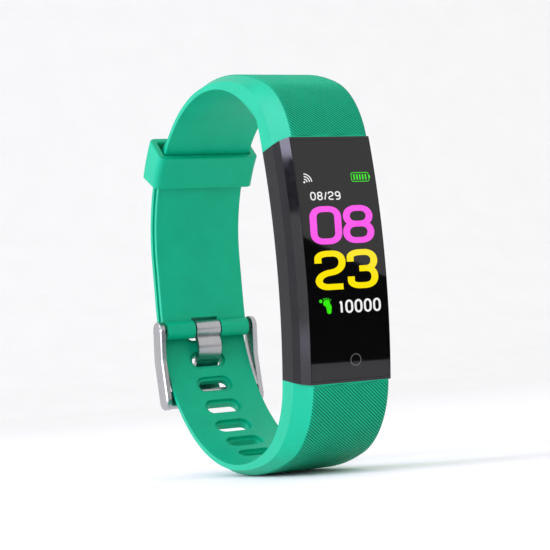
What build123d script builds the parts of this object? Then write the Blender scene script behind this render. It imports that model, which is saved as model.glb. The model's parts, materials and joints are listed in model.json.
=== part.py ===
from build123d import *
import os
from math import atan2, cos, degrees, radians, sin, sqrt

# Fitness tracker band, buckled. Millimetres and degrees.
# X runs across the band, Y from the display to the back of the wrist, Z along the display.
# The origin is the centre of the wrist opening, the display faces -Y.

# ---- driving dimensions: loop seen from the side -------------------------------------------
front_y = -24.0            # outermost point of the lens
front_radius = 116.2       # curve of the display face
capsule_length = 39.8      # measured along that curve
capsule_side_depth = 7.5   # face to the edge that rests beside the wrist
capsule_depth = 11.0       # face to the sensor bump
contact_y = 34.1           # back of the wrist, where the two straps lie on each other
upper_strap_thickness = 1.8
lower_strap_thickness = 1.7
layer_gap = 0.08           # between the two strap layers
upper_crease_drop = 0.9    # strap face to crease at the back of the wrist
lower_crease_drop = 0.8

# ---- driving dimensions: across the band ---------------------------------------------------
band_width = 17.0          # over the creases, the widest line of capsule and straps
ribbed_width = 13.8        # flat outer face of the straps
glass_width = 14.3
bevel_width = 16.4
bevel_depth = 1.7
crease_depth = 3.8

# ---- capsule --------------------------------------------------------------------------------
shell_wall = 1.1
lens_thickness = 1.0
lens_gap = 0.05
lens_end_margin = 0.5      # bezel left at each end of the lens
bezel_ledge = 0.9          # step under the edge of the lens
end_wall = 2.4
cover_wall = 0.9
fit_gap = 0.1              # pieces that drop into a pocket

# ---- strap ends -----------------------------------------------------------------------------
socket_gap = 0.15
usb_width = 12.0
usb_thickness = 2.2
usb_reach = 8.6            # out of the lower end of the capsule
usb_root = 3.4             # inside the capsule
usb_depth = 5.7            # face to the middle of the tongue
tab_width = 9.0
tab_thickness = 3.4
tab_reach = 4.6
tab_depth = 4.8

# ---- spring bar, buckle and keeper ----------------------------------------------------------
pivot_drop = 7.8           # below the middle of the band's back, along the contact curve
lug_radius = 1.7
lug_margin = 0.2           # each end of the lug stands this far inside the band
bar_radius = 0.75
bar_bore = 0.5
bar_gap = 0.04
bar_lip = 0.4
pin_neck = 0.35
pin_head_length = 2.0
pin_travel = 1.05
pin_gap = 0.04
pin_reach = 1.0            # into the buckle's arm
arm_gap = 0.5              # band edge to buckle arm
arm_thickness = 1.0
arm_width = 3.6
arm_chamfer = 0.2
crossbar_drop = 12.1       # pivot to crossbar, along the lower strap
crossbar_thickness = 1.4
crossbar_width = 3.4
crossbar_gap = 0.15
tongue_width = 4.6
tongue_curl_width = 4.8
tongue_thickness = 0.9
tongue_notch_gap = 0.3
slot_count = 9
slot_pitch = 5.2
slot_length = 6.0
slot_width = 2.2
slot_lip = 0.6
slot_lip_depth = 0.5
first_slot_drop = 5.8      # pivot to the slot that holds the tongue
slots_above = 3            # slots hidden behind the upper strap
keeper_height = 7.3
keeper_wall = 1.3
keeper_gap = 0.25
keeper_corner = 1.2
keeper_edge = 0.35
keeper_angle = 142.4       # middle of the keeper on the crown of the loop
tail_length = 30.5         # lower strap, up from the middle of the band's back
tail_corner = 6.0

# ---- what follows from them -----------------------------------------------------------------
half_band = band_width / 2
front_centre_y = front_y + front_radius
joint_angle = degrees(capsule_length / 2 / front_radius)
roof_end = 94.0            # where the roof of the loop passes into its crown


class Arc:
    """One arc of the loop in the YZ plane. Angles turn from the display (-Y) over the top."""

    def __init__(self, centre_y, centre_z, radius, start, end, side):
        self.centre_y = centre_y
        self.centre_z = centre_z
        self.radius = radius
        self.start = start
        self.end = end
        self.side = side

    def point(self, angle, inset=0.0):
        reach = self.radius - inset
        y = self.centre_y - reach * cos(radians(angle))
        z = self.centre_z + reach * sin(radians(angle))
        return (y, self.side * z)

    def length(self):
        return self.radius * radians(self.end - self.start)


def half_loop(depth, start, shoulder_radius, shoulder_turn, back_y, side):
    """Arcs from the end of the capsule to the back of the wrist: front, shoulder and crown.

    The crown closes the loop: it ends upright at back_y.
    """
    front = Arc(front_centre_y, 0, front_radius - depth, joint_angle, start, side)
    y, z = front.point(start)
    z *= side
    shoulder = Arc(
        y + shoulder_radius * cos(radians(start)),
        z - shoulder_radius * sin(radians(start)),
        shoulder_radius,
        start,
        start + shoulder_turn,
        side,
    )
    turned = start + shoulder_turn
    y, z = shoulder.point(turned)
    z *= side
    crown_radius = (back_y - y) / (1 + cos(radians(turned)))
    crown = Arc(
        y + crown_radius * cos(radians(turned)),
        z - crown_radius * sin(radians(turned)),
        crown_radius,
        turned,
        180,
        side,
    )
    return [front, shoulder, crown]


def skin_loop(lining, thickness, depth, shoulder_radius):
    """Arcs of a strap's outer face or crease, from the capsule to the back of the wrist.

    The crown keeps one thickness over the lining, and a flatter roof joins it to the shoulder.
    """
    reach = front_radius - depth - shoulder_radius
    back = lining[-1]
    radius = back.radius + thickness
    shoulder_y = front_centre_y - reach * cos(radians(joint_angle))
    shoulder_z = reach * sin(radians(joint_angle))
    out_y = -cos(radians(roof_end))
    out_z = sin(radians(roof_end))
    gap_y = shoulder_y - back.centre_y - radius * out_y
    gap_z = shoulder_z - back.centre_z - radius * out_z
    spread = gap_y * out_y + gap_z * out_z + shoulder_radius
    roof_radius = (shoulder_radius**2 - gap_y**2 - gap_z**2) / (2 * spread)
    roof_y = back.centre_y + (radius - roof_radius) * out_y
    roof_z = back.centre_z + (radius - roof_radius) * out_z
    meet = degrees(atan2(shoulder_z - roof_z, roof_y - shoulder_y))
    return [
        Arc(shoulder_y, shoulder_z, shoulder_radius, joint_angle, meet, back.side),
        Arc(roof_y, roof_z, roof_radius, meet, roof_end, back.side),
        Arc(back.centre_y, back.centre_z, radius, roof_end, 180, back.side),
    ]


upper_back_y = contact_y - upper_strap_thickness
upper_inner = half_loop(capsule_side_depth, joint_angle + 2.6, 2.7, 32.7, upper_back_y, 1)
upper_outer = skin_loop(upper_inner, upper_strap_thickness, 0, 14.0)
upper_crease = skin_loop(upper_inner, upper_strap_thickness - upper_crease_drop, crease_depth, 15.6)
lower_inner = half_loop(capsule_side_depth, joint_angle + 0.6, 14.0, 57.1, contact_y + layer_gap, -1)
lower_outer = skin_loop(lower_inner, lower_strap_thickness, 0, 15.0)
lower_crease = skin_loop(lower_inner, lower_strap_thickness - lower_crease_drop, crease_depth, 15.9)


def trace(arc, inset=0.0):
    """Draw one arc of the loop in the current line."""
    middle = (arc.start + arc.end) / 2
    ThreePointArc(
        arc.point(arc.start, inset),
        arc.point(middle, inset),
        arc.point(arc.end, inset),
    )


contact_up = upper_outer[-1]
contact_down = lower_inner[-1]


def contact_arc(drop):
    """The arc of the contact curve that reaches a drop below the middle of the back, and its angle."""
    arc = contact_down if drop > 0 else contact_up
    bend = max(abs(drop) - arc.centre_z, 0)
    return arc, 180 - degrees(bend / arc.radius)


def contact_point(drop, lift=0.0):
    """A point in (y, z), given by its drop along the contact curve and its lift outward from it."""
    arc, angle = contact_arc(drop)
    surface = layer_gap if drop > 0 else 0.0
    y, z = arc.point(angle, surface - lift)
    straight = arc.centre_z - abs(drop)
    if straight > 0:
        z += arc.side * -straight
    return (y, z)


def skin_lift(drop):
    """Lift of the lower strap's outer face over the contact curve."""
    arc, angle = contact_arc(drop)
    y, z = contact_point(drop)
    skin = lower_outer[-1]
    away_y = y - skin.centre_y
    away_z = z + skin.centre_z
    along = -away_y * cos(radians(angle)) - away_z * sin(radians(angle))
    return sqrt(skin.radius**2 + along**2 - away_y**2 - away_z**2) - along


def contact_plane(drop, lift=0.0):
    """Plane on the contact curve: X across the band, Y down along it, Z outward."""
    arc, angle = contact_arc(drop)
    y, z = contact_point(drop, lift)
    outward = (0, -cos(radians(angle)), arc.side * sin(radians(angle)))
    return Plane(origin=(0, y, z), x_dir=(1, 0, 0), z_dir=outward)


def capsule_plane(angle, depth=0.0):
    """Plane across the capsule: X across the band, Y into its depth, Z up along it."""
    reach = front_radius - depth
    origin = (0, front_centre_y - reach * cos(radians(angle)), reach * sin(radians(angle)))
    return Plane(origin=origin, x_dir=(1, 0, 0), z_dir=(0, sin(radians(angle)), cos(radians(angle))))


def slab_plane(depth):
    """Plane across the depth of the capsule, facing the display. Pieces grow deeper by minus."""
    return Plane.XZ.offset(-(front_y + depth))


def along_face(length, depth=0.0):
    """Half angle of a curved capsule piece of the given length."""
    return degrees(length / 2 / (front_radius - depth))


capsule_axis = Axis((0, front_centre_y, 0), (-1, 0, 0))
everywhere = along_face(1.6 * capsule_length)


def capsule_block(width, top, bottom, half_angle, mode=Mode.ADD):
    """A block of the given width between two depths, curved like the face."""
    with BuildSketch(capsule_plane(-half_angle)) as section:
        with Locations((0, (top + bottom) / 2)):
            Rectangle(width, bottom - top)
    revolve(section.sketch, axis=capsule_axis, revolution_arc=2 * half_angle, mode=mode)


def save(piece, name):
    piece.part.label = name
    export_step(piece.part, f"parts/{name}.step")


os.makedirs("parts", exist_ok=True)

# ---- capsule shells --------------------------------------------------------------------------
half_glass = glass_width / 2
half_bevel = bevel_width / 2
lens_length = capsule_length - 2 * lens_end_margin
cavity_width = bevel_width - 2 * shell_wall
cavity_angle = joint_angle - degrees(end_wall / front_radius)
bezel_rim = 0.1            # flat land round the lens before the bevel starts

with BuildPart() as lens_glass:
    capsule_block(glass_width, 0, lens_thickness, along_face(lens_length))
save(lens_glass, "lens_glass")

with BuildPart() as bezel_frame:
    with BuildSketch(capsule_plane(-joint_angle)):
        with BuildLine():
            Polyline(
                (-half_glass - lens_gap - bezel_rim, 0),
                (half_glass + lens_gap + bezel_rim, 0),
                (half_bevel, bevel_depth),
                (-half_bevel, bevel_depth),
                close=True,
            )
        make_face()
    revolve(axis=capsule_axis, revolution_arc=2 * joint_angle)
    capsule_block(
        glass_width + 2 * lens_gap,
        -1,
        lens_thickness + lens_gap,
        along_face(lens_length + 2 * lens_gap),
        Mode.SUBTRACT,
    )
    capsule_block(
        glass_width - 2 * bezel_ledge,
        0,
        bevel_depth + 1,
        along_face(lens_length - 2 * bezel_ledge),
        Mode.SUBTRACT,
    )
save(bezel_frame, "bezel_frame")

with BuildPart() as capsule_housing:
    with BuildSketch(capsule_plane(-joint_angle)):
        with BuildLine():
            Polyline(
                (-half_bevel, bevel_depth),
                (half_bevel, bevel_depth),
                (half_band, crease_depth),
                (half_band, capsule_side_depth),
                (-half_band, capsule_side_depth),
                (-half_band, crease_depth),
                close=True,
            )
        make_face()
    revolve(axis=capsule_axis, revolution_arc=2 * joint_angle)
    capsule_block(cavity_width, 0, capsule_side_depth + 1, cavity_angle, Mode.SUBTRACT)
    with BuildSketch(capsule_plane(joint_angle, tab_depth)):
        RectangleRounded(tab_width, tab_thickness, 0.8)
    extrude(amount=tab_reach)
    with BuildSketch(capsule_plane(-joint_angle, usb_depth)):
        RectangleRounded(usb_width + 2 * fit_gap, usb_thickness + 2 * fit_gap, 0.4)
    extrude(amount=end_wall + 1, both=True, mode=Mode.SUBTRACT)
save(capsule_housing, "capsule_housing")

# ---- back cover and its window ---------------------------------------------------------------
seal_thickness = 0.15
cover_slope = 45
bump_height = capsule_depth - capsule_side_depth
cover_rise = bump_height + 0.4
cover_flat_width = band_width - 2 * bump_height
cover_flat_length = capsule_length - 8.2
window_size = 7.2
window_corner = 1.6
sensor_z = -3.0

with BuildPart() as back_cover:
    with BuildSketch(slab_plane(capsule_depth)):
        RectangleRounded(cover_flat_width, cover_flat_length, 1.5)
    extrude(amount=cover_rise, taper=-cover_slope)
    capsule_block(2 * band_width, -1, capsule_side_depth + seal_thickness, everywhere, Mode.SUBTRACT)
    with BuildSketch(slab_plane(capsule_depth - cover_wall)):
        Rectangle(cover_flat_width - 0.2, cover_flat_length - 0.6)
    extrude(amount=cover_rise, mode=Mode.SUBTRACT)
    with BuildSketch(slab_plane(capsule_depth)):
        with Locations((0, sensor_z)):
            RectangleRounded(window_size, window_size, window_corner)
    extrude(amount=2 * cover_wall, mode=Mode.SUBTRACT)
    fillet(back_cover.edges().filter_by(Axis.Z).group_by(Axis.Y)[-1], 0.4)
save(back_cover, "back_cover")

with BuildPart() as cover_seal:
    capsule_block(
        cavity_width + 1.4,
        capsule_side_depth,
        capsule_side_depth + seal_thickness,
        along_face(cover_flat_length + 2.4, capsule_side_depth),
    )
    capsule_block(
        cavity_width,
        capsule_side_depth - 1,
        capsule_side_depth + 1,
        along_face(cover_flat_length + 1.0, capsule_side_depth),
        Mode.SUBTRACT,
    )
save(cover_seal, "cover_seal")

with BuildPart() as sensor_window:
    with BuildSketch(slab_plane(capsule_depth - cover_wall)):
        with Locations((0, sensor_z)):
            RectangleRounded(window_size - 2 * lens_gap, window_size - 2 * lens_gap, window_corner)
    extrude(amount=-cover_wall)
save(sensor_window, "sensor_window")

# ---- display stack -----------------------------------------------------------------------------
display_z = 3.0
display_width = glass_width - 2 * bezel_ledge - 2 * fit_gap
display_length = 26.6
panel_depth = 2.3
panel_thickness = 1.0
light_thickness = 0.7
flex_width = 6.0
flex_thickness = 0.15
touch_z = -15.9
touch_radius = 2.2


def slab(depth, thickness, width, length, z=0.0, x=0.0, corner=0.3):
    """A flat piece inside the capsule, from one depth inward."""
    with BuildSketch(slab_plane(depth)) as outline:
        with Locations((x, z)):
            RectangleRounded(width, length, corner)
    extrude(outline.sketch, amount=-thickness)


with BuildPart() as display_panel:
    slab(panel_depth, panel_thickness, display_width, display_length, display_z)
save(display_panel, "display_panel")

with BuildPart() as display_adhesive:
    slab(0, panel_depth, display_width - 0.4, display_length - 0.4, display_z)
    capsule_block(band_width, -2, lens_thickness, everywhere, Mode.SUBTRACT)
save(display_adhesive, "display_adhesive")

light_depth = panel_depth + panel_thickness
with BuildPart() as display_backlight:
    slab(light_depth, light_thickness, display_width + 0.2, display_length + 0.6, display_z)
save(display_backlight, "display_backlight")

frame_depth = light_depth + light_thickness + lens_gap
frame_thickness = 0.55
board_depth = frame_depth + frame_thickness + fit_gap
board_thickness = 0.7
board_length = 30.6
flex_z = display_z - display_length / 2 - 0.5

with BuildPart() as inner_frame:
    slab(frame_depth, frame_thickness, cavity_width - 2 * fit_gap, board_length + 1.2, 0.2)
    with BuildSketch(slab_plane(frame_depth)):
        with Locations((0, display_z)):
            Rectangle(display_width - 4, display_length - 8)
        with Locations((0, flex_z - 0.8)):
            Rectangle(flex_width + 1, 3.2)
    extrude(amount=-frame_thickness, mode=Mode.SUBTRACT)
save(inner_frame, "inner_frame")

flex_middle = light_depth - flex_thickness / 2
flex_drop = board_depth - flex_middle - flex_thickness / 2
with BuildPart() as display_flex:
    with BuildSketch(Plane.YZ) as ribbon:
        with BuildLine():
            Polyline(
                (front_y + flex_middle, flex_z + 0.5),
                (front_y + flex_middle, flex_z - 0.7),
                (front_y + flex_middle + flex_drop, flex_z - 0.7),
                (front_y + flex_middle + flex_drop, flex_z - 2.0),
                (front_y + flex_middle + flex_drop - flex_thickness, flex_z - 2.0),
                (front_y + flex_middle + flex_drop - flex_thickness, flex_z - 0.7 - flex_thickness),
                (front_y + flex_middle - flex_thickness, flex_z - 0.7 - flex_thickness),
                (front_y + flex_middle - flex_thickness, flex_z + 0.5),
                close=True,
            )
        make_face()
    extrude(amount=flex_width / 2, both=True)
save(display_flex, "display_flex")

with BuildPart() as touch_electrode:
    with BuildSketch(slab_plane(0)):
        with Locations((0, touch_z)):
            Circle(touch_radius)
    extrude(amount=-4)
    capsule_block(band_width, -2, lens_thickness, everywhere, Mode.SUBTRACT)
    capsule_block(band_width, lens_thickness + 0.12, 8, everywhere, Mode.SUBTRACT)
save(touch_electrode, "touch_electrode")

# ---- board, battery, motor ---------------------------------------------------------------------
chip_depth = board_depth + board_thickness
chip_height = 0.8
battery_z = -3.4
battery_width = cover_flat_width - 0.6
battery_length = 18.6
battery_thickness = 3.1
tape_thickness = 0.1
motor_z = 13.0
motor_depth = 7.9
motor_radius = 1.9
motor_length = 6.4
motor_wall = 0.2
shaft_radius = 0.35
weight_radius = 1.8
weight_length = 2.4

with BuildPart() as main_board:
    slab(board_depth, board_thickness, cavity_width - 4 * fit_gap, board_length, 0.2)
save(main_board, "main_board")

with BuildPart() as board_chips:
    slab(chip_depth, chip_height, 4.0, 3.4, 8.6, -3.0, 0.1)
    slab(chip_depth, chip_height, 2.6, 3.0, 8.6, 1.4, 0.1)
    slab(chip_depth, chip_height * 0.7, 1.2, 2.0, 8.6, 4.4, 0.1)
save(board_chips, "board_chips")

with BuildPart() as battery_tape:
    slab(chip_depth, tape_thickness, battery_width - 1, battery_length - 2, battery_z)
save(battery_tape, "battery_tape")

with BuildPart() as battery_cell:
    slab(chip_depth + tape_thickness, battery_thickness, battery_width, battery_length, battery_z, 0, 1.0)
save(battery_cell, "battery_cell")

motor_y = front_y + motor_depth
case_left = -4.6
case_right = case_left + motor_length
with BuildPart() as motor_case:
    with BuildSketch(Plane.YZ.offset(case_left)):
        with Locations((motor_y, motor_z)):
            Circle(motor_radius)
            Circle(motor_radius - motor_wall, mode=Mode.SUBTRACT)
    extrude(amount=motor_length)
    with BuildSketch(Plane.YZ.offset(case_left)):
        with Locations((motor_y, motor_z)):
            Circle(motor_radius)
            Circle(shaft_radius + 0.03, mode=Mode.SUBTRACT)
    extrude(amount=0.4)
    with BuildSketch(Plane.YZ.offset(case_right - 0.4)):
        with Locations((motor_y, motor_z)):
            Circle(motor_radius)
            Circle(shaft_radius + 0.03, mode=Mode.SUBTRACT)
    extrude(amount=0.4)
save(motor_case, "motor_case")

armature_radius = 1.2
with BuildPart() as motor_rotor:
    with BuildSketch(Plane.YZ.offset(case_left)):
        with Locations((motor_y, motor_z)):
            Circle(shaft_radius)
    extrude(amount=motor_length + weight_length + 0.3)
    with BuildSketch(Plane.YZ.offset(case_left + 0.6)):
        with Locations((motor_y, motor_z)):
            Circle(armature_radius)
    extrude(amount=motor_length - 1.2)
    with BuildSketch(Plane.YZ.offset(case_right + 0.2)):
        with Locations((motor_y, motor_z)):
            Circle(weight_radius)
            with Locations((-weight_radius - shaft_radius, 0)):
                Rectangle(2 * weight_radius, 3 * weight_radius, mode=Mode.SUBTRACT)
            Circle(shaft_radius)
    extrude(amount=weight_length)
save(motor_rotor, "motor_rotor")

# ---- heart rate sensor ---------------------------------------------------------------------------
sensor_thickness = 0.4
led_height = 0.45
baffle_wall = 0.35
baffle_size = 3.0
sensor_depth = capsule_depth - cover_wall - led_height - sensor_thickness - 0.1
led_depth = sensor_depth + sensor_thickness

with BuildPart() as sensor_board:
    slab(sensor_depth, sensor_thickness, 8.4, 8.4, sensor_z)
save(sensor_board, "sensor_board")

with BuildPart() as sensor_leds:
    for side in (-1, 1):
        slab(led_depth, led_height, 1.2, 1.6, sensor_z, side * 2.6, 0.1)
save(sensor_leds, "sensor_leds")

with BuildPart() as photodiode:
    slab(led_depth, led_height, 2.0, 2.0, sensor_z, 0, 0.1)
save(photodiode, "photodiode")

with BuildPart() as light_baffle:
    with BuildSketch(slab_plane(led_depth)):
        with Locations((0, sensor_z)):
            Rectangle(baffle_size, baffle_size)
            Rectangle(baffle_size - 2 * baffle_wall, baffle_size - 2 * baffle_wall, mode=Mode.SUBTRACT)
    extrude(amount=-led_height - 0.05)
save(light_baffle, "light_baffle")

# ---- charging plug ---------------------------------------------------------------------------------
pad_count = 4
pad_pitch = 2.3
pad_width = 1.2
pad_length = 6.0
pad_height = 0.08

with BuildPart() as usb_tongue:
    with BuildSketch(capsule_plane(-joint_angle, usb_depth)):
        RectangleRounded(usb_width, usb_thickness, 0.3)
    extrude(amount=-usb_reach)
    with BuildSketch(capsule_plane(-joint_angle, usb_depth)):
        RectangleRounded(usb_width, usb_thickness, 0.3)
    extrude(amount=usb_root)
    chamfer(usb_tongue.faces().sort_by(Axis.Z)[0].edges(), 0.3)
save(usb_tongue, "usb_tongue")

with BuildPart() as usb_contacts:
    with BuildSketch(capsule_plane(-joint_angle, usb_depth - usb_thickness / 2 - pad_height).offset(-2.2)):
        with GridLocations(pad_pitch, 1, pad_count, 1):
            with Locations((0, pad_height / 2)):
                Rectangle(pad_width, pad_height)
    extrude(amount=-pad_length)
save(usb_contacts, "usb_contacts")

# ---- straps ------------------------------------------------------------------------------------------
half_ribbed = ribbed_width / 2
pivot_arc, pivot_angle = contact_arc(pivot_drop)
pivot_y, pivot_z = contact_point(pivot_drop, -lug_radius)
bar_length = band_width - 2 * lug_margin - 0.6
notch_width = tongue_curl_width + 2 * tongue_notch_gap


def extension(arc, angle):
    """The crown of the other strap half, from the back of the wrist to an angle."""
    return Arc(arc.centre_y, arc.centre_z, arc.radius, 180, angle, arc.side)


def strap_outline(x, skin, lining, beyond, skin_lift, lining_lift):
    """Side view of a strap: out along its skin, round its free end, home along its lining."""
    with BuildSketch(Plane.YZ.offset(x)) as outline:
        with BuildLine():
            for arc in skin:
                trace(arc)
            Line(skin[-1].point(180), beyond.point(180, -skin_lift))
            trace(beyond, -skin_lift)
            Line(beyond.point(beyond.end, -skin_lift), beyond.point(beyond.end, -lining_lift))
            trace(beyond, -lining_lift)
            Line(beyond.point(180, -lining_lift), lining[-1].point(180))
            for arc in lining:
                trace(arc)
            Line(lining[0].point(joint_angle), skin[0].point(joint_angle))
        make_face()
    return outline.sketch


def strap_body(skin, crease, lining, beyond, skin_lift, crease_lift, lining_lift):
    """A strap with a flat ribbed face between two chamfers that run down to the creases."""
    extrude(strap_outline(0, skin, lining, beyond, skin_lift, lining_lift), half_ribbed, both=True)
    for side in (-1, 1):
        flat_edge = strap_outline(side * half_ribbed, skin, lining, beyond, skin_lift, lining_lift)
        crease_edge = strap_outline(side * half_band, crease, lining, beyond, crease_lift, lining_lift)
        loft([flat_edge, crease_edge], ruled=True)


upper_end = extension(contact_down, pivot_angle)
with BuildPart() as upper_strap:
    strap_body(
        upper_outer,
        upper_crease,
        upper_inner,
        upper_end,
        -layer_gap,
        -layer_gap - upper_crease_drop,
        -layer_gap - upper_strap_thickness,
    )
    with BuildSketch(Plane.YZ):
        with Locations((pivot_y, pivot_z)):
            Circle(lug_radius)
    extrude(amount=half_band - lug_margin, both=True)
    with BuildSketch(Plane.YZ):
        with Locations((pivot_y, pivot_z)):
            Circle(bar_radius + bar_gap)
    extrude(amount=half_band + 1, both=True, mode=Mode.SUBTRACT)
    with BuildSketch(Plane.YZ):
        with Locations((pivot_y, pivot_z)):
            Circle(lug_radius + 0.5)
    extrude(amount=notch_width / 2, both=True, mode=Mode.SUBTRACT)
    with BuildSketch(capsule_plane(joint_angle, tab_depth)):
        RectangleRounded(tab_width + 2 * socket_gap, tab_thickness + 2 * socket_gap, 0.8)
    extrude(amount=tab_reach + socket_gap, mode=Mode.SUBTRACT)
save(upper_strap, "upper_strap")

tail_arc, tail_angle = contact_arc(-tail_length)
with BuildPart() as lower_strap:
    strap_body(
        lower_outer,
        lower_crease,
        lower_inner,
        extension(contact_up, tail_angle),
        layer_gap + lower_strap_thickness,
        layer_gap + lower_strap_thickness - lower_crease_drop,
        layer_gap,
    )
    for place in range(slot_count):
        drop = pivot_drop + first_slot_drop + (place - slots_above) * slot_pitch
        with BuildSketch(contact_plane(drop)):
            SlotOverall(slot_length, slot_width)
        extrude(amount=2 * lower_strap_thickness, both=True, mode=Mode.SUBTRACT)
        with BuildSketch(contact_plane(drop, layer_gap + slot_lip_depth)):
            SlotOverall(slot_length + 2 * slot_lip, slot_width + 2 * slot_lip)
        extrude(amount=-1, mode=Mode.SUBTRACT)
    with BuildSketch(contact_plane(-tail_length)):
        with Locations((0, (tail_corner - 1) / 2)):
            Rectangle(band_width + 1, tail_corner + 1)
        with Locations((0, 2 * tail_corner)):
            RectangleRounded(band_width, 4 * tail_corner, tail_corner, mode=Mode.SUBTRACT)
    extrude(amount=2 * lower_strap_thickness, both=True, mode=Mode.SUBTRACT)
    with BuildSketch(capsule_plane(-joint_angle, usb_depth)):
        RectangleRounded(usb_width + 2 * socket_gap, usb_thickness + 2 * socket_gap, 0.4)
    extrude(amount=-usb_reach - socket_gap, mode=Mode.SUBTRACT)
save(lower_strap, "lower_strap")

# ---- keeper ------------------------------------------------------------------------------------------
pocket_low = contact_up.radius - upper_strap_thickness - keeper_gap
pocket_high = contact_up.radius + layer_gap + lower_strap_thickness + keeper_gap
pocket_middle = (pocket_low + pocket_high) / 2
keeper_turn = degrees(keeper_height / contact_up.radius)
keeper_start = keeper_angle - keeper_turn / 2
keeper_plane = Plane(
    origin=(0, contact_up.centre_y, contact_up.centre_z),
    x_dir=(1, 0, 0),
    z_dir=(0, -sin(radians(keeper_start)), -cos(radians(keeper_start))),
)
with BuildPart() as strap_keeper:
    with BuildSketch(keeper_plane):
        with Locations((0, pocket_middle)):
            RectangleRounded(
                band_width + 2 * (keeper_gap + keeper_wall),
                pocket_high - pocket_low + 2 * keeper_wall,
                keeper_corner,
            )
            RectangleRounded(
                band_width + 2 * keeper_gap,
                pocket_high - pocket_low,
                0.3,
                mode=Mode.SUBTRACT,
            )
    revolve(
        axis=Axis((0, contact_up.centre_y, contact_up.centre_z), (-1, 0, 0)),
        revolution_arc=keeper_turn,
    )
    flat_faces = strap_keeper.faces().filter_by(GeomType.PLANE)
    keeper_ends = flat_faces.filter_by(lambda face: abs(face.normal_at().X) < 0.5)
    fillet(keeper_ends.edges(), keeper_edge)
save(strap_keeper, "strap_keeper")

# ---- spring bar --------------------------------------------------------------------------------------
half_bar = bar_length / 2
head_outer = half_bar - bar_lip
head_inner = head_outer - pin_head_length
with BuildPart() as spring_bar_tube:
    with BuildSketch(Plane.YZ.offset(-half_bar)):
        with Locations((pivot_y, pivot_z)):
            Circle(bar_radius)
            Circle(pin_neck + pin_gap, mode=Mode.SUBTRACT)
    extrude(amount=bar_length)
    with BuildSketch(Plane.YZ):
        with Locations((pivot_y, pivot_z)):
            Circle(bar_bore)
    extrude(amount=head_outer, both=True, mode=Mode.SUBTRACT)
save(spring_bar_tube, "spring_bar_tube")

arm_inside = half_band + arm_gap
for side, name in ((-1, "left"), (1, "right")):
    with BuildPart() as pin:
        with BuildSketch(Plane.YZ.offset(side * head_inner)):
            with Locations((pivot_y, pivot_z)):
                Circle(bar_bore - pin_gap)
        extrude(amount=side * pin_head_length)
        with BuildSketch(Plane.YZ.offset(side * head_outer)):
            with Locations((pivot_y, pivot_z)):
                Circle(pin_neck)
        extrude(amount=side * (arm_inside + pin_reach - head_outer))
    save(pin, f"spring_bar_pin_{name}")

spring_wire = 0.08
spring_turns = 9
half_spring = head_inner - pin_travel - 0.1 - spring_wire
coil_radius = bar_bore - spring_wire - 0.06
with BuildPart() as spring_bar_spring:
    with BuildLine():
        coil = Helix(
            2 * half_spring / spring_turns,
            2 * half_spring,
            coil_radius,
            center=(-half_spring, pivot_y, pivot_z),
            direction=(1, 0, 0),
        )
    with BuildSketch(Plane(origin=coil @ 0, z_dir=coil % 0)):
        Circle(spring_wire)
    sweep()
save(spring_bar_spring, "spring_bar_spring")

# ---- buckle ------------------------------------------------------------------------------------------
crossbar_lift = skin_lift(pivot_drop + crossbar_drop) + crossbar_gap + crossbar_thickness / 2
crossbar_y, crossbar_z = contact_point(pivot_drop + crossbar_drop, crossbar_lift)
crossbar_arc, crossbar_angle = contact_arc(pivot_drop + crossbar_drop)
elbow_drop = 5.2
elbow_lift = 0.2
elbow = contact_point(pivot_drop + elbow_drop, elbow_lift)
groove_depth = 0.6


def bar_between(start, end, width):
    """A bar with round ends between two points of the current sketch."""
    middle = ((start[0] + end[0]) / 2, (start[1] + end[1]) / 2)
    SlotCenterPoint(middle, end, width)


with BuildPart() as buckle_frame:
    for side in (-1, 1):
        with BuildSketch(Plane.YZ.offset(side * arm_inside)):
            bar_between((pivot_y, pivot_z), elbow, arm_width)
            bar_between(elbow, (crossbar_y, crossbar_z), arm_width)
        extrude(amount=side * arm_thickness)
    with BuildSketch(Plane.YZ):
        with Locations((crossbar_y, crossbar_z)):
            RectangleRounded(
                crossbar_thickness,
                crossbar_width,
                0.4,
                rotation=crossbar_angle - 180,
            )
    extrude(amount=arm_inside + arm_thickness / 2, both=True)
    with BuildSketch(contact_plane(pivot_drop + crossbar_drop, crossbar_lift + crossbar_thickness / 2)):
        Rectangle(tongue_width + 2 * tongue_notch_gap, 2 * crossbar_width)
    extrude(amount=groove_depth, both=True, mode=Mode.SUBTRACT)
    with BuildSketch(Plane.YZ):
        with Locations((pivot_y, pivot_z)):
            Circle(pin_neck + pin_gap)
    extrude(amount=2 * arm_inside, both=True, mode=Mode.SUBTRACT)
    arm_sides = buckle_frame.faces().sort_by(Axis.X)
    for side_face in (arm_sides[0], arm_sides[-1]):
        chamfer(side_face.outer_wire().edges(), arm_chamfer)
save(buckle_frame, "buckle_frame")

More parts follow.
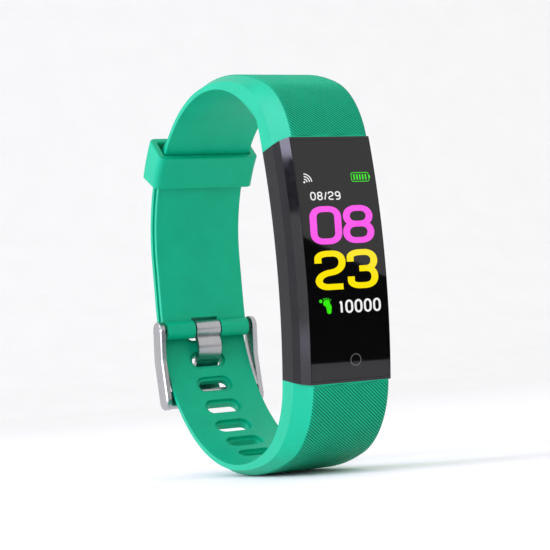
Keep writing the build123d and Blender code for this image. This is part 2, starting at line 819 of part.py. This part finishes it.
curl_gap = 0.05
curl_radius = bar_radius + curl_gap + 0.85
groove_gap = 0.3
tongue_rest = crossbar_lift + crossbar_thickness / 2 - groove_depth + groove_gap + tongue_thickness / 2
shank_top = contact_point(pivot_drop + 1.6, -1.75)
shank_front = contact_point(pivot_drop + 3.4, -2.1)
shank_foot = contact_point(pivot_drop + 5.3, -0.7)
hook_top = contact_point(pivot_drop + 7.0, tongue_rest)
tip = contact_point(pivot_drop + crossbar_drop + 1.3, tongue_rest)
with BuildPart() as buckle_tongue:
    with BuildSketch(Plane.YZ):
        bar_between((pivot_y, pivot_z), shank_top, tongue_thickness)
        SlotArc(Edge.make_three_point_arc(shank_top, shank_front, shank_foot), tongue_thickness)
        bar_between(shank_foot, hook_top, tongue_thickness)
        bar_between(hook_top, tip, tongue_thickness)
    extrude(amount=tongue_width / 2, both=True)
    with BuildSketch(Plane.YZ):
        with Locations((pivot_y, pivot_z)):
            Circle(curl_radius)
    extrude(amount=tongue_curl_width / 2, both=True)
    with BuildSketch(Plane.YZ):
        with Locations((pivot_y, pivot_z)):
            Circle(bar_radius + curl_gap)
    extrude(amount=tongue_curl_width, both=True, mode=Mode.SUBTRACT)
save(buckle_tongue, "buckle_tongue")
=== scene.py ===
import bpy
import bmesh
import json
from math import asin, cos, degrees, hypot, pi, radians, sin
from mathutils import Matrix, Vector


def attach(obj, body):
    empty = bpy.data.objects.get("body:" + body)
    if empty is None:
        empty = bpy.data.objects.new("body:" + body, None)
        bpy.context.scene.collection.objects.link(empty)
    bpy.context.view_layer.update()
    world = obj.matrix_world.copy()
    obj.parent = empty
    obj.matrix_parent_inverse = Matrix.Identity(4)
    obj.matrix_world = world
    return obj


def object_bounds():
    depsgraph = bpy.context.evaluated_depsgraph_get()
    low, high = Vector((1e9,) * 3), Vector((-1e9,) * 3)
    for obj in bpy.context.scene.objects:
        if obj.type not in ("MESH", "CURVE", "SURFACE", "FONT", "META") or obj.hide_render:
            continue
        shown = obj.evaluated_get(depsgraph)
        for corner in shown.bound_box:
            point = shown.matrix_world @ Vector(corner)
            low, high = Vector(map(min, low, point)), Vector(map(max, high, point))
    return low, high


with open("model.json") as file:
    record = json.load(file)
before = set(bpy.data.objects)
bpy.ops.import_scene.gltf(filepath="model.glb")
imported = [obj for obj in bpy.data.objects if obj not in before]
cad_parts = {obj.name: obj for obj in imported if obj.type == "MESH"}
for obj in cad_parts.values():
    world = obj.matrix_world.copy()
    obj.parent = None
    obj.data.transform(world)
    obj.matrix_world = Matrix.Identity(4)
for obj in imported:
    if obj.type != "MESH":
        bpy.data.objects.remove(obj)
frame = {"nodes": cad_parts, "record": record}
cad_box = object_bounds()
nodes = frame["nodes"]
MM = 0.001
MAIN_BODY = "capsule_and_straps"


# ---- the loop seen from the side, as in the part's source: centre y, centre z, radius, angles -----
class Arc:
    def __init__(self, centre_y, centre_z, radius, start, end, side):
        self.centre_y = centre_y
        self.centre_z = centre_z
        self.radius = radius
        self.start = start
        self.end = end
        self.side = side

    def length(self):
        return self.radius * radians(self.end - self.start)


FACE_RADIUS = 116.2
FACE_CENTRE_Y = 92.2
JOINT_ANGLE = 9.8123
HALF_RIBBED = 6.9
UPPER_RIBS_END = 126.0    # on the crown, short of the tail
LOWER_RIBS_END = 102.5    # on the crown, short of the lowest slot
UPPER_FACE = [
    Arc(-8.505, 17.417, 14.0, JOINT_ANGLE, 64.8364, 1),
    Arc(4.488, -10.2402, 44.5571, 64.8364, 94.0, 1),
    Arc(5.6087, 5.7865, 28.4913, 94.0, 180.0, 1),
]
LOWER_FACE = [
    Arc(-7.5196, 17.2466, 15.0, JOINT_ANGLE, 71.7568, -1),
    Arc(3.5506, -16.3381, 50.362, 71.7568, 94.0, -1),
    Arc(4.9028, 2.9995, 30.9772, 94.0, 180.0, -1),
]


def on_face(arcs, s, lift):
    """(y, z) in mm at a distance s along the arcs, raised by lift."""
    for arc in arcs:
        if s <= arc.length() or arc is arcs[-1]:
            break
        s -= arc.length()
    angle = radians(arc.start) + s / arc.radius
    reach = arc.radius + lift
    return arc.centre_y - reach * cos(angle), arc.side * (arc.centre_z + reach * sin(angle))


def on_lens(x, s, lift):
    """A point in metres on the lens: x across, s up along its curve, raised by lift, all in mm."""
    angle = s / FACE_RADIUS
    reach = FACE_RADIUS + lift
    return Vector((x, FACE_CENTRE_Y - reach * cos(angle), reach * sin(angle))) * MM


# ---- node materials ---------------------------------------------------------------------------------
def shader(name, color, roughness, metallic=0.0):
    material = bpy.data.materials.new(name)
    material.use_nodes = True
    tree = material.node_tree
    bsdf = tree.nodes["Principled BSDF"]
    bsdf.inputs["Base Color"].default_value = (*color, 1)
    bsdf.inputs["Roughness"].default_value = roughness
    bsdf.inputs["Metallic"].default_value = metallic
    return material, tree, bsdf


def noise(tree, scale, detail=3.0, stretch=(1, 1, 1)):
    """Noise in the part's own space, scale in 1/m."""
    place = tree.nodes.new("ShaderNodeTexCoord")
    mapping = tree.nodes.new("ShaderNodeMapping")
    mapping.inputs["Scale"].default_value = stretch
    tree.links.new(place.outputs["Object"], mapping.inputs["Vector"])
    texture = tree.nodes.new("ShaderNodeTexNoise")
    texture.inputs["Scale"].default_value = scale
    texture.inputs["Detail"].default_value = detail
    tree.links.new(mapping.outputs["Vector"], texture.inputs["Vector"])
    return texture


def spread(tree, source, low, high, target):
    """Feed a socket with the noise, mapped from low to high."""
    ramp = tree.nodes.new("ShaderNodeMapRange")
    ramp.inputs["From Min"].default_value = 0.3
    ramp.inputs["From Max"].default_value = 0.7
    ramp.inputs["To Min"].default_value = low
    ramp.inputs["To Max"].default_value = high
    tree.links.new(source.outputs["Fac"], ramp.inputs["Value"])
    tree.links.new(ramp.outputs["Result"], target)


def tint(tree, source, dark, light, target):
    ramp = tree.nodes.new("ShaderNodeValToRGB")
    ramp.color_ramp.elements[0].position = 0.3
    ramp.color_ramp.elements[0].color = (*dark, 1)
    ramp.color_ramp.elements[1].position = 0.7
    ramp.color_ramp.elements[1].color = (*light, 1)
    tree.links.new(source.outputs["Fac"], ramp.inputs["Fac"])
    tree.links.new(ramp.outputs["Color"], target)


def bump(tree, source, bsdf, strength, distance):
    node = tree.nodes.new("ShaderNodeBump")
    node.inputs["Strength"].default_value = strength
    node.inputs["Distance"].default_value = distance
    tree.links.new(source.outputs["Fac"], node.inputs["Height"])
    tree.links.new(node.outputs["Normal"], bsdf.inputs["Normal"])


def surface(name, color, roughness, metallic=0.0, vary=0.12, grain=9000, depth=0.000008,
            strength=0.35, spread_by=0.06, stretch=(1, 1, 1), coat=0.0, specular=0.5):
    """Moulded, painted or machined surface: cloudy colour, uneven gloss and a fine grain."""
    material, tree, bsdf = shader(name, color, roughness, metallic)
    bsdf.inputs["Coat Weight"].default_value = coat
    bsdf.inputs["Coat Roughness"].default_value = 0.04
    bsdf.inputs["Specular IOR Level"].default_value = specular
    clouds = noise(tree, 260, 3.0)
    dark = [v * (1 - vary) for v in color]
    light = [min(v * (1 + vary), 1) for v in color]
    tint(tree, clouds, dark, light, bsdf.inputs["Base Color"])
    fine = noise(tree, grain, 4.0, stretch)
    spread(tree, fine, roughness - spread_by, roughness + spread_by, bsdf.inputs["Roughness"])
    bump(tree, fine, bsdf, strength, depth)
    return material


GREEN = (0.0, 0.40, 0.215)
strap_rubber = surface("strap_rubber", GREEN, 0.42, vary=0.05, grain=14000, depth=0.000006, strength=0.3,
                       specular=0.2)
# darker green for the rib grooves: painted shade in the recesses, the same rubber as the strap
groove_painted_shade = surface("strap_groove_painted_shade", (0.0, 0.17, 0.085), 0.5, vary=0.05, grain=14000, depth=0.000006,
                        strength=0.3, specular=0.1)
shell_plastic = surface("shell_plastic", (0.006, 0.006, 0.0068), 0.34, grain=12000, strength=0.3, specular=0.16)
bezel_gloss = surface("bezel_gloss", (0.006, 0.006, 0.0065), 0.09, grain=900, strength=0.05, spread_by=0.03)
lens_black = surface("lens_black", (0.0018, 0.0018, 0.002), 0.05, grain=260, strength=0.0, spread_by=0.015)
steel = surface("buckle_satin_steel", (0.44, 0.44, 0.45), 0.24, 1.0, vary=0.04, grain=2500,
                depth=0.000004, strength=0.25, spread_by=0.07, stretch=(14, 1, 1))
pin_steel = surface("pin_steel", (0.55, 0.55, 0.57), 0.2, 1.0, vary=0.05, grain=5000, depth=0.000002)

LOOKS = {
    "strap_green": strap_rubber,
    "shell_black": shell_plastic,
    "bezel_black": bezel_gloss,
    "lens": lens_black,
    "buckle_steel": steel,
    "pin_steel": pin_steel,
    "display_dark": surface("display_glass", (0.02, 0.02, 0.03), 0.15, grain=600),
    "adhesive_clear": surface("optical_adhesive", (0.75, 0.78, 0.8), 0.12, grain=700),
    "backlight_white": surface("light_guide", (0.85, 0.85, 0.83), 0.6, vary=0.03, grain=4000),
    "flex_amber": surface("polyimide", (0.55, 0.28, 0.05), 0.35, grain=6000),
    "copper": surface("copper_pad", (0.72, 0.38, 0.22), 0.3, 1.0, grain=8000),
    "frame_grey": surface("frame_plastic", (0.12, 0.12, 0.13), 0.6, grain=9000),
    "board_green": surface("solder_mask", (0.01, 0.12, 0.05), 0.35, vary=0.2, grain=3000),
    "chip_black": surface("chip_resin", (0.02, 0.02, 0.02), 0.7, grain=11000),
    "battery_silver": surface("cell_pouch", (0.6, 0.61, 0.63), 0.35, 1.0, grain=1500, depth=0.00003),
    "tape_yellow": surface("tape", (0.75, 0.55, 0.08), 0.5, grain=5000),
    "motor_steel": surface("motor_can", (0.7, 0.7, 0.72), 0.15, 1.0, grain=4000, stretch=(1, 12, 12)),
    "weight_steel": surface("sintered_weight", (0.35, 0.35, 0.36), 0.5, 1.0, grain=7000),
    "led_lens": surface("led_resin", (0.45, 0.85, 0.5), 0.15, grain=900),
    "diode_dark": surface("diode_filter", (0.03, 0.02, 0.05), 0.1, grain=900),
    "window_clear": surface("sensor_glass", (0.03, 0.032, 0.035), 0.06, grain=500, strength=0.0,
                            spread_by=0.02, coat=0.5),
    "seal_grey": surface("seal_rubber", (0.2, 0.2, 0.21), 0.7, grain=9000),
    "gold": surface("gold_plate", (0.83, 0.62, 0.2), 0.2, 1.0, grain=6000),
}
for row in frame["record"]["subparts"]:
    mesh = nodes[row["node"]].data
    mesh.materials.clear()
    mesh.materials.append(LOOKS[row["material_slot"]])


def piece(name, verts, faces, material, body, smooth=False, second=None, pick=()):
    """A new mesh on a body. The faces named in pick take the second material."""
    mesh = bpy.data.meshes.new(name)
    mesh.from_pydata([tuple(v) for v in verts], [], faces)
    for index in pick:
        mesh.polygons[index].material_index = 1
    bm = bmesh.new()
    bm.from_mesh(mesh)
    bmesh.ops.remove_doubles(bm, verts=bm.verts, dist=2e-7)
    bmesh.ops.dissolve_degenerate(bm, edges=bm.edges, dist=1e-7)
    bmesh.ops.recalc_face_normals(bm, faces=bm.faces)
    bm.to_mesh(mesh)
    bm.free()
    mesh.polygons.foreach_set("use_smooth", [smooth] * len(mesh.polygons))
    mesh.materials.append(material)
    if second:
        mesh.materials.append(second)
    obj = bpy.data.objects.new(name, mesh)
    bpy.context.scene.collection.objects.link(obj)
    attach(obj, body)
    return obj


# ---- diagonal ribs on the flat outer faces of the straps ----------------------------------------------
RIB_PITCH = 0.56          # along the strap
RIB_LEAN = 0.9            # along the strap for each mm across it
RIB_HEIGHT = 0.16
RIB_BASE = -0.06          # under the strap's face
RIB_PROFILE = (0.0, 0.62, 1.0, 1.0, 0.62)
RIB_START = 0.15
RIB_FADE = 0.15           # the ribs rise from the face over this length
RIB_FLOOR = 0.004         # the grooves stand this far off the face
ACROSS = 24


def rib_panel(name, arcs, first, last):
    """One closed sheet of ribs. Its rows lean with the ribs, and its ends stop on a line across."""
    steps = len(RIB_PROFILE)
    lean = RIB_LEAN * HALF_RIBBED
    rows = int((last - first + 2 * lean) / RIB_PITCH * steps) + 1
    inner = HALF_RIBBED - 0.12
    across = [-HALF_RIBBED] + [inner * (2 * i / ACROSS - 1) for i in range(ACROSS + 1)] + [HALF_RIBBED]
    top = []
    bottom = []
    for row in range(rows):
        for x in across:
            s = first - lean + row * RIB_PITCH / steps + (-x if arcs[0].side > 0 else x) * RIB_LEAN
            inside = min(max(s, first), last)
            edge = min(inside - first, last - inside, RIB_FADE) / RIB_FADE
            side_edge = 0.0 if abs(x) == HALF_RIBBED else 1.0
            height = RIB_PROFILE[row % steps] * RIB_HEIGHT * edge * side_edge + RIB_FLOOR
            y, z = on_face(arcs, inside, height)
            top.append((x * MM, y * MM, z * MM))
            y, z = on_face(arcs, inside, RIB_BASE)
            bottom.append((x * MM, y * MM, z * MM))
    wide = len(across)
    verts = top + bottom
    under = len(top)
    faces = []
    grooves = []
    for row in range(rows - 1):
        for i in range(wide - 1):
            a = row * wide + i
            quad = (a, a + 1, a + wide + 1, a + wide)
            # the groove faces take the darker green: painted shade between the ribs
            if row % steps in (0, steps - 1):
                grooves.append(len(faces))
            faces.append(quad)
            faces.append(tuple(under + v for v in reversed(quad)))
        for a, b in ((row * wide, (row + 1) * wide), ((row + 1) * wide - 1, (row + 2) * wide - 1)):
            faces.append((a, b, under + b, under + a))
    for i in range(wide - 1):
        for a in (i, (rows - 1) * wide + i):
            faces.append((a, a + 1, under + a + 1, under + a))
    return piece(name, verts, faces, strap_rubber, MAIN_BODY, True, groove_painted_shade, grooves)


def reach_to(arcs, angle):
    """Distance along the arcs to an angle on the last of them."""
    return sum(arc.length() for arc in arcs[:-1]) + arcs[-1].radius * radians(angle - arcs[-1].start)


rib_panel("upper_strap_ribs", UPPER_FACE, RIB_START, reach_to(UPPER_FACE, UPPER_RIBS_END))
rib_panel("lower_strap_ribs", LOWER_FACE, RIB_START, reach_to(LOWER_FACE, LOWER_RIBS_END))


# ---- what the display shows -----------------------------------------------------------------------------
def glowing(name, color, strength=1.0):
    material, tree, bsdf = shader(name, [v * 0.05 for v in color], 0.12)
    bsdf.inputs["Emission Color"].default_value = (*color, 1)
    grid = noise(tree, 5200, 1.0)
    spread(tree, grid, strength * 0.94, strength * 1.03, bsdf.inputs["Emission Strength"])
    return material


magenta = glowing("pixels_magenta", (0.94, 0.075, 0.78))
yellow = glowing("pixels_yellow", (0.97, 0.76, 0.0))
lime = glowing("pixels_lime", (0.035, 0.78, 0.005))
white = glowing("pixels_white", (0.86, 0.86, 0.86))
# the touch ring is grey print on the glass; here it glows, painted light standing in for the lit print
touch_ring_painted_glow = glowing("touch_print_painted_glow", (0.16, 0.16, 0.16))
GLOW_TOP = 0.012
GLOW_BASE = -0.03


def arc_points(cx, cy, rx, ry, start, end, count=9):
    """Points on an ellipse from start to end, in degrees, counterclockwise from +x."""
    angles = [radians(start + (end - start) * i / (count - 1)) for i in range(count)]
    return [(cx + rx * cos(a), cy + ry * sin(a)) for a in angles]


def box_loop(x0, y0, x1, y1, r):
    """A closed rounded rectangle, counterclockwise."""
    return (arc_points(x1 - r, y1 - r, r, r, 0, 90) + arc_points(x0 + r, y1 - r, r, r, 90, 180)
            + arc_points(x0 + r, y0 + r, r, r, 180, 270) + arc_points(x1 - r, y0 + r, r, r, 270, 360))


def offset_line(points, half, closed):
    """Left and right borders of a stroke along the points."""
    clean = [points[0]]
    for p in points[1:]:
        if hypot(p[0] - clean[-1][0], p[1] - clean[-1][1]) > 1e-4:
            clean.append(p)
    if closed and hypot(clean[0][0] - clean[-1][0], clean[0][1] - clean[-1][1]) < 1e-4:
        clean.pop()
    left = []
    right = []
    count = len(clean)
    for i, (x, y) in enumerate(clean):
        before = clean[(i - 1) % count] if closed or i > 0 else None
        after = clean[(i + 1) % count] if closed or i < count - 1 else None
        sides = []
        for a, b in ((before, (x, y)), ((x, y), after)):
            if a and b:
                size = hypot(b[0] - a[0], b[1] - a[1])
                sides.append((-(b[1] - a[1]) / size, (b[0] - a[0]) / size))
        nx = sum(v[0] for v in sides) / len(sides)
        ny = sum(v[1] for v in sides) / len(sides)
        fit = max(nx * nx + ny * ny, 0.35)
        left.append((x + nx / fit * half, y + ny / fit * half))
        right.append((x - nx / fit * half, y - ny / fit * half))
    return left, right


class Print:
    """Flat shapes in the display's plane, gathered into one thin piece that follows the lens."""

    def __init__(self):
        self.verts = []
        self.faces = []

    def _strip(self, left, right, closed):
        start = len(self.verts)
        for lift in (GLOW_TOP, GLOW_BASE):
            for (lx, ly), (rx, ry) in zip(left, right):
                self.verts.append(on_lens(lx, ly, lift))
                self.verts.append(on_lens(rx, ry, lift))
        count = len(left)
        under = 2 * count
        links = count if closed else count - 1
        for i in range(links):
            a = start + 2 * i
            b = start + 2 * ((i + 1) % count)
            self.faces.append((a, a + 1, b + 1, b))
            self.faces.append((a + under, b + under, b + 1 + under, a + 1 + under))
            self.faces.append((a, b, b + under, a + under))
            self.faces.append((a + 1, a + 1 + under, b + 1 + under, b + 1))
        if not closed:
            for a in (start, start + 2 * count - 2):
                self.faces.append((a, a + 1, a + 1 + under, a + under))

    def stroke(self, points, width, closed=False, squash=1.0):
        """A stroke along the points. Where it runs across, it is thinner by the squash."""
        left, right = offset_line([(x, y * squash) for x, y in points], width / 2, closed)
        self._strip([(x, y / squash) for x, y in left], [(x, y / squash) for x, y in right], closed)

    def blob(self, cx, cy, rx, ry, turn=0.0):
        """A filled ellipse."""
        half = []
        other = []
        for i in range(13):
            t = pi * i / 12
            for target, sign in ((half, 1), (other, -1)):
                u = rx * cos(t)
                v = sign * ry * sin(t) if 0 < i < 12 else sign * 0.002
                target.append((cx + u * cos(turn) - v * sin(turn), cy + u * sin(turn) + v * cos(turn)))
        self._strip(half, other, False)

    def build(self, name, material):
        return piece(name, self.verts, self.faces, material, MAIN_BODY)


def rounded(points, radius, closed):
    """The points with their corners rounded off."""
    count = len(points)
    line = []
    for i, (x, y) in enumerate(points):
        if not closed and i in (0, count - 1):
            line.append((x, y))
            continue
        ends = []
        for ox, oy in (points[i - 1], points[(i + 1) % count]):
            size = hypot(ox - x, oy - y)
            cut = min(radius, size * 0.5) / size
            ends.append((x + (ox - x) * cut, y + (oy - y) * cut))
        (ax, ay), (bx, by) = ends
        for k in range(CORNER_STEPS + 1):
            t = k / CORNER_STEPS
            line.append((
                (1 - t) ** 2 * ax + 2 * t * (1 - t) * (x * 0.82 + (ax + bx) * 0.09) + t * t * bx,
                (1 - t) ** 2 * ay + 2 * t * (1 - t) * (y * 0.82 + (ay + by) * 0.09) + t * t * by,
            ))
    return line


CORNER_STEPS = 7
# centre lines of the digits in a unit box, each with whether it closes on itself
GLYPHS = {
    "0": [([(0, 0), (1, 0), (1, 1), (0, 1)], True)],
    "1": [([(0.1, 0.8), (0.55, 1), (0.55, 0)], False)],
    "2": [([(0, 0.72), (0, 1), (1, 1), (1, 0.49), (0, 0.37), (0, 0), (1, 0)], False)],
    "3": [
        ([(0, 0.73), (0, 1), (1, 1), (1, 0.51), (0.36, 0.51)], False),
        ([(0.36, 0.51), (1, 0.51), (1, 0), (0, 0), (0, 0.28)], False),
    ],
    "8": [
        ([(0, 0), (1, 0), (1, 0.51), (0, 0.51)], True),
        ([(0.03, 0.51), (0.97, 0.51), (0.97, 1), (0.03, 1)], True),
    ],
    "9": [
        ([(0, 0.42), (1, 0.42), (1, 1), (0, 1)], True),
        ([(1, 0.6), (1, 0), (0.05, 0)], False),
    ],
    "/": [([(0, 0), (1, 1)], False)],
}


def write(target, text, x, y, width, height, gap, stroke, squash, corner, lean=0.0, narrow=()):
    """A line of digits from its lower left corner. The box holds the strokes with their full width."""
    for letter in text:
        full = width * (NARROW if letter in narrow else 1.0)
        wide = full - stroke
        tall = height - stroke / squash
        for points, closed in GLYPHS[letter]:
            line = [(u * wide, v * tall * squash) for u, v in points]
            line = rounded(line, corner, closed)
            line = [(x + stroke / 2 + u + lean * v / height, y + stroke / squash / 2 + v)
                    for u, v in ((u, v / squash) for u, v in line)]
            target.stroke(line, stroke, closed, squash)
        x += full + gap


NARROW = 0.62
hours = Print()
write(hours, "08", -5.9, 2.25, 5.72, 6.15, 0.2, 1.26, 1.33, 1.6, lean=0.3)
hours.build("display_hours", magenta)
minutes = Print()
write(minutes, "23", -5.72, -5.02, 5.6, 6.25, 0.25, 1.26, 1.33, 1.6, lean=0.15)
minutes.build("display_minutes", yellow)

small = Print()
write(small, "08", -5.1, 9.38, 1.0, 1.4, 0.24, 0.21, 1.1, 0.45)
write(small, "/", -2.62, 9.38, 0.55, 1.4, 0.1, 0.19, 1.0, 0.1)
write(small, "29", -1.86, 9.38, 1.0, 1.4, 0.24, 0.21, 1.1, 0.45)
write(small, "10000", -1.8, -8.85, 1.42, 2.15, 0.28, 0.36, 1.15, 0.7, narrow="1")
link_x, link_y = -5.95, 12.25
small.blob(link_x + 0.14, link_y + 0.14, 0.17, 0.17)
for radius in (0.55, 0.98, 1.4):
    small.stroke(arc_points(link_x + 0.1, link_y + 0.1, radius, radius, 4, 86, 11), 0.17)
small.build("display_white", white)

green = Print()
battery_left, battery_right, battery_low, battery_high = 2.85, 6.05, 12.3, 13.75
green.stroke(box_loop(battery_left, battery_low, battery_right, battery_high, 0.3), 0.11, True)
for i in range(5):
    x = battery_left + 0.52 + i * 0.53
    green.stroke([(x, battery_low + 0.27), (x, battery_high - 0.27)], 0.26)
green.blob(battery_right + 0.17, (battery_low + battery_high) / 2, 0.1, 0.3)
green.blob(-4.0, -7.05, 0.62, 0.52, 0.35)
green.blob(-3.62, -7.75, 0.5, 0.62, 0.0)
green.blob(-3.6, -8.35, 0.42, 0.45, 0.0)
green.blob(-5.02, -6.72, 0.28, 0.28, 0.0)
for i, (tx, ty, tr) in enumerate(((-4.42, -6.42, 0.13), (-4.0, -6.35, 0.12), (-3.6, -6.42, 0.11), (-3.26, -6.6, 0.1))):
    green.blob(tx, ty, tr, tr)
green.build("display_green", lime)

# touch key ring: real print, lit by painted glow instead of the lamps
touch = Print()
touch.stroke(arc_points(0.9, -16.35, 0.92, 0.92, 0, 360, 49), 0.09, True)
touch.build("touch_key_ring", touch_ring_painted_glow)


# ---- camera, light, floor --------------------------------------------------------------------------------
scene = bpy.context.scene
scene.view_settings.view_transform = "Standard"
FOCAL_PIXELS = 1690.517
IMAGE_PIXELS = 550
EYE = Vector((-131.6594, -258.5834, -19.1352)) * MM
camera = bpy.data.cameras.new("camera")
camera.sensor_width = 36.0
camera.lens = FOCAL_PIXELS / IMAGE_PIXELS * camera.sensor_width
camera.clip_start = 0.01
camera.clip_end = 50.0
right = Vector((0.891133, -0.445269, -0.087277))
down = Vector((-0.049012, 0.096764, -0.9941))
ahead = Vector((0.451087, 0.890153, 0.064406))
holder = bpy.data.objects.new("camera", camera)
scene.collection.objects.link(holder)
turn = Matrix((right, -down, -ahead)).transposed().to_4x4()
holder.matrix_world = Matrix.Translation(EYE) @ turn
scene.camera = holder

world = bpy.data.worlds.new("studio")
world.use_nodes = True
sky = world.node_tree.nodes["Background"]
sky.inputs["Color"].default_value = (1, 1, 1, 1)
sky.inputs["Strength"].default_value = 1.0
scene.world = world


def mirrored(point, normal, distance):
    """Where the line of sight to a glossy point ends, once turned back by the surface."""
    sight = (point - EYE).normalized()
    return point + (sight - 2 * sight.dot(normal) * normal) * distance


def card(name, corners, material):
    """A card beside the part, seen in glossy surfaces only."""
    mesh = bpy.data.meshes.new(name)
    mesh.from_pydata([tuple(v) for v in corners], [], [tuple(range(len(corners)))])
    mesh.materials.append(material)
    obj = bpy.data.objects.new(name, mesh)
    scene.collection.objects.link(obj)
    obj.visible_camera = False
    obj.visible_diffuse = False
    obj.visible_shadow = False
    obj.visible_transmission = False


LENS_CARD_AT = 0.075
BEVEL_CARD_AT = 0.1
BEVEL_X = -7.8            # middle of the left bevel
BEVEL_DEPTH = 0.85
BEVEL_OUT = 0.894         # its normal, across and toward the front
BEVEL_FRONT = 0.447


def front_at(z):
    """Depth coordinate of the capsule's face at a height."""
    return FACE_CENTRE_Y - (FACE_RADIUS**2 - z * z) ** 0.5


def lens_view(x, s):
    """The card corner that a point of the lens mirrors to the camera."""
    angle = s / FACE_RADIUS
    return mirrored(on_lens(x, s, 0), Vector((0, -cos(angle), sin(angle))), LENS_CARD_AT)


def bevel_view(z):
    """The card corner that a point of the left bevel mirrors to the camera."""
    point = Vector((BEVEL_X, front_at(z) + BEVEL_DEPTH, z)) * MM
    tilt = asin(z / FACE_RADIUS)
    normal = Vector((-BEVEL_OUT, -BEVEL_FRONT * cos(tilt), BEVEL_FRONT * sin(tilt)))
    return mirrored(point, normal.normalized(), BEVEL_CARD_AT)


black_card, tree, bsdf = shader("black_card", (0.004, 0.004, 0.004), 1.0)
card("card_front", [lens_view(-12, 5.9), lens_view(12, -5.9), lens_view(12, -17.2), lens_view(-12, -16.4)],
     black_card)
side = Vector((0.012, 0.03, 0))
high, low = bevel_view(17.2), bevel_view(8.0)
card("card_side", [high - side, high + side, low + side, low - side], black_card)


LIGHT_TINT = (1.0, 0.93, 1.3)


def area_light(name, place, aim, size, power):
    light = bpy.data.lights.new(name, "AREA")
    light.energy = power
    light.color = LIGHT_TINT
    light.size = size
    obj = bpy.data.objects.new(name, light)
    scene.collection.objects.link(obj)
    obj.location = place
    obj.rotation_euler = (Vector(aim) - Vector(place)).to_track_quat("-Z", "Y").to_euler()
    obj.visible_camera = False


area_light("side_light", (-0.55, 0.18, 0.28), (0, 0, 0), 0.35, 2.0)
area_light("low_light", (-0.4, -0.1, 0.02), (0, 0, -0.03), 0.2, 0.7)


floor_z = cad_box[0][2] - 0.0004
floor_shader, tree, bsdf = shader("floor_paper", (0.93, 0.93, 0.93), 0.9)
paper = noise(tree, 30)
tint(tree, paper, (0.92, 0.92, 0.92), (0.94, 0.94, 0.94), bsdf.inputs["Base Color"])
profile = [(-3.0, 0.0), (0.9, 0.0)]
profile += [(0.9 + 0.5 * sin(radians(a)), 0.5 - 0.5 * cos(radians(a))) for a in range(10, 91, 10)]
profile += [(1.4, 3.0)]
verts = [(x, y, floor_z + z) for y, z in profile for x in (-4.0, 4.0)]
faces = [(2 * i, 2 * i + 1, 2 * i + 3, 2 * i + 2) for i in range(len(profile) - 1)]
mesh = bpy.data.meshes.new("floor")
mesh.from_pydata(verts, [], faces)
mesh.materials.append(floor_shader)
floor = bpy.data.objects.new("floor", mesh)
scene.collection.objects.link(floor)
